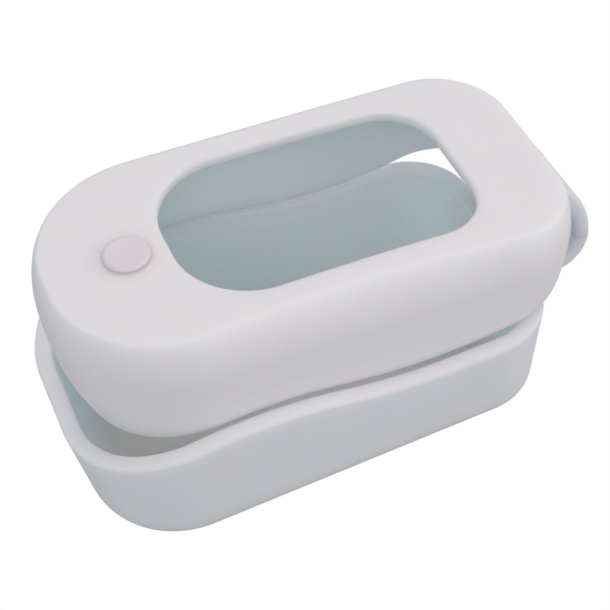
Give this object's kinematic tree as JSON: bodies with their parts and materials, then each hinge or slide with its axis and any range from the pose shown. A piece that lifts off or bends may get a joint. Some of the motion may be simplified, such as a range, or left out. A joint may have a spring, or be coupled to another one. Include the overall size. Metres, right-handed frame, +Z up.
{
  "type": "protective silicone cover for a fingertip pulse oximeter",
  "caption": "Empty translucent silicone cover for a fingertip pulse oximeter: lower tray, windowed upper shell with push button, and a C-shaped hinge strap.",
  "frame": {"origin": "centre of the lower tray's flat base, on the surface it stands on", "axes": "+X along the cover from the finger end to the strap end, +Z up"},
  "size_m": [0.0742, 0.0388, 0.0368],
  "materials": {
    "shell_silicone": "milky translucent silicone rubber, satin",
    "tray_silicone": "milky translucent silicone rubber, satin",
    "strap_silicone": "milky translucent silicone rubber, satin"
  },
  "bodies": {
    "tray": {"lower_tray": "tray_silicone"},
    "strap": {"strap_lower_half": "strap_silicone", "strap_upper_half": "strap_silicone"},
    "cover": {"upper_shell": "shell_silicone", "button_web": "shell_silicone"},
    "button": {"button_cap": "shell_silicone"}
  },
  "joints": [
    {"name": "strap_lower_bend", "type": "hinge", "parent": "tray", "child": "strap", "pos_m": [0.04004, 0, 0.01296], "axis": [0, 1, 0], "range_deg": [0, 70], "deforming": ["strap_lower_half", "strap_upper_half"]},
    {"name": "strap_upper_bend", "type": "hinge", "parent": "strap", "child": "cover", "pos_m": [0.04044, 0, 0.02076], "axis": [0, 1, 0], "range_deg": [0, 70], "deforming": ["strap_lower_half", "strap_upper_half"]},
    {"name": "button_press", "type": "slide", "parent": "cover", "child": "button", "axis": [-0.0396, 0.0222, -0.999], "range_m": [0, 0.0008], "stiffness_N_per_m": 800, "deforming": ["button_web"]}
  ],
  "couplings": [
    {"joint": "strap_upper_bend", "follows": "strap_lower_bend", "ratio": 1}
  ]
}
